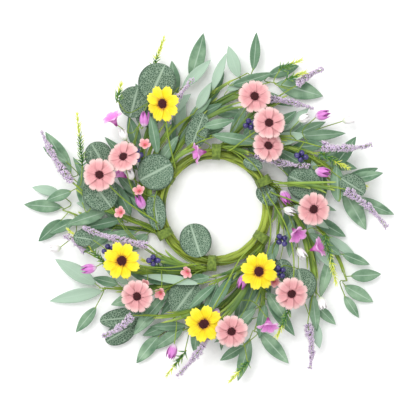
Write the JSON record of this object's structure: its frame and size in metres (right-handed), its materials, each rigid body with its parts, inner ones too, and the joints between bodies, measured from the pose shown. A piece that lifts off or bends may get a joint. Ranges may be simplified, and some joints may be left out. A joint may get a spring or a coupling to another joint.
{
  "type": "floral wreath",
  "caption": "Artificial floral wreath: a vine ring with taped bundles of wired leaves, daisies, bells, sprigs and berries that sweep outwards clockwise, open in the middle.",
  "frame": {"origin": "centre of the ring, on the plane that the wreath lies on", "axes": "+Z out of the front, away from the table or wall behind it; +Y is up when it hangs"},
  "size_m": [0.4482, 0.4243, 0.0614],
  "materials": {
    "steel_wire": "drawn wire, painted dark green-grey",
    "vine": "matt moulded vine with lengthwise grooves",
    "floral_tape": "waxed crepe paper tape",
    "willow_leaf": "printed woven polyester, pale underside",
    "plastic_stem": "matt plastic over wire",
    "dollar_leaf": "printed woven polyester with a light vein net",
    "lilac_floret": "soft matt moulded florets",
    "rosemary_needle": "soft matt moulded needles",
    "yellow_petal": "pressed polyester petals",
    "daisy_eye": "flocked domed eye",
    "pink_petal": "pressed polyester petals",
    "freesia_petal": "pressed polyester petals",
    "pink_tulip_petal": "pressed polyester petals",
    "white_tulip_petal": "pressed polyester petals",
    "coral_petal": "pressed polyester petals",
    "berry": "satin lacquered berries"
  },
  "bodies": {
    "wreath": {"hoop_wire": "steel_wire", "ring_vine_1": "vine", "ring_vine_2": "vine", "ring_vine_3": "vine", "ring_vine_4": "vine", "ring_vine_5": "vine", "floral_tape": "floral_tape", "wire_anchors": "steel_wire", "willow_leaves_left": "willow_leaf", "willow_leaves_lower_left": "willow_leaf", "willow_leaves_bottom": "willow_leaf", "willow_leaves_lower_right": "willow_leaf", "willow_leaves_right": "willow_leaf", "willow_leaves_upper_right": "willow_leaf", "willow_leaves_top": "willow_leaf", "willow_leaves_inner": "willow_leaf", "willow_stems": "plastic_stem", "dollar_leaves_upper": "dollar_leaf", "dollar_leaves_lower": "dollar_leaf", "dollar_leaves_inner": "dollar_leaf", "dollar_stems": "plastic_stem", "lilac_sprigs_left": "lilac_floret", "lilac_sprigs_right": "lilac_floret", "lilac_stems": "plastic_stem", "rosemary_sprigs_left": "rosemary_needle", "rosemary_sprigs_right": "rosemary_needle", "rosemary_stems": "plastic_stem", "back_daisy_petals": "pink_petal", "back_daisy_eyes": "daisy_eye", "freesia_blooms": "freesia_petal", "pink_tulips": "pink_tulip_petal", "white_tulips": "white_tulip_petal", "coral_blossoms": "coral_petal", "berries": "berry", "flower_stems": "plastic_stem"},
    "yellow_daisy_1": {"yellow_daisy_1_petals": "yellow_petal", "yellow_daisy_1_eye": "daisy_eye", "yellow_daisy_1_stem": "plastic_stem"},
    "yellow_daisy_2": {"yellow_daisy_2_petals": "yellow_petal", "yellow_daisy_2_eye": "daisy_eye", "yellow_daisy_2_stem": "plastic_stem"},
    "yellow_daisy_3": {"yellow_daisy_3_petals": "yellow_petal", "yellow_daisy_3_eye": "daisy_eye", "yellow_daisy_3_stem": "plastic_stem"},
    "yellow_daisy_4": {"yellow_daisy_4_petals": "yellow_petal", "yellow_daisy_4_eye": "daisy_eye", "yellow_daisy_4_stem": "plastic_stem"},
    "pink_daisy_1": {"pink_daisy_1_petals": "pink_petal", "pink_daisy_1_eye": "daisy_eye", "pink_daisy_1_stem": "plastic_stem"},
    "pink_daisy_2": {"pink_daisy_2_petals": "pink_petal", "pink_daisy_2_eye": "daisy_eye", "pink_daisy_2_stem": "plastic_stem"},
    "pink_daisy_3": {"pink_daisy_3_petals": "pink_petal", "pink_daisy_3_eye": "daisy_eye", "pink_daisy_3_stem": "plastic_stem"},
    "pink_daisy_4": {"pink_daisy_4_petals": "pink_petal", "pink_daisy_4_eye": "daisy_eye", "pink_daisy_4_stem": "plastic_stem"}
  },
  "joints": [
    {"name": "yellow_daisy_1_lift", "type": "hinge", "parent": "wreath", "child": "yellow_daisy_1", "pos_m": [-0.01706, -0.06841, 0.02884], "axis": [0.0469, 0.9989, 0], "range_deg": [0, 30]},
    {"name": "yellow_daisy_2_lift", "type": "hinge", "parent": "wreath", "child": "yellow_daisy_2", "pos_m": [-0.04726, 0.04564, 0.02286], "axis": [0.9855, 0.1699, 0], "range_deg": [0, 30]},
    {"name": "yellow_daisy_3_lift", "type": "hinge", "parent": "wreath", "child": "yellow_daisy_3", "pos_m": [0.05854, 0.01679, 0.02884], "axis": [-0.9988, 0.0493, 0], "range_deg": [0, 30]},
    {"name": "yellow_daisy_4_lift", "type": "hinge", "parent": "wreath", "child": "yellow_daisy_4", "pos_m": [0.04726, -0.04564, 0.02884], "axis": [-0.8447, 0.5353, 0], "range_deg": [0, 30]},
    {"name": "pink_daisy_1_lift", "type": "hinge", "parent": "wreath", "child": "pink_daisy_1", "pos_m": [-0.06777, -0.01943, 0.02884], "axis": [0.6452, 0.764, 0], "range_deg": [0, 30]},
    {"name": "pink_daisy_2_lift", "type": "hinge", "parent": "wreath", "child": "pink_daisy_2", "pos_m": [0.01706, 0.06841, 0.02884], "axis": [0.5607, -0.828, 0], "range_deg": [0, 30]},
    {"name": "pink_daisy_3_lift", "type": "hinge", "parent": "wreath", "child": "pink_daisy_3", "pos_m": [0.06777, 0.01943, 0.02884], "axis": [-0.3872, -0.922, 0], "range_deg": [0, 30]},
    {"name": "pink_daisy_4_lift", "type": "hinge", "parent": "wreath", "child": "pink_daisy_4", "pos_m": [0.06316, 0.01811, 0.02884], "axis": [-0.9711, -0.2388, 0], "range_deg": [0, 30]}
  ]
}
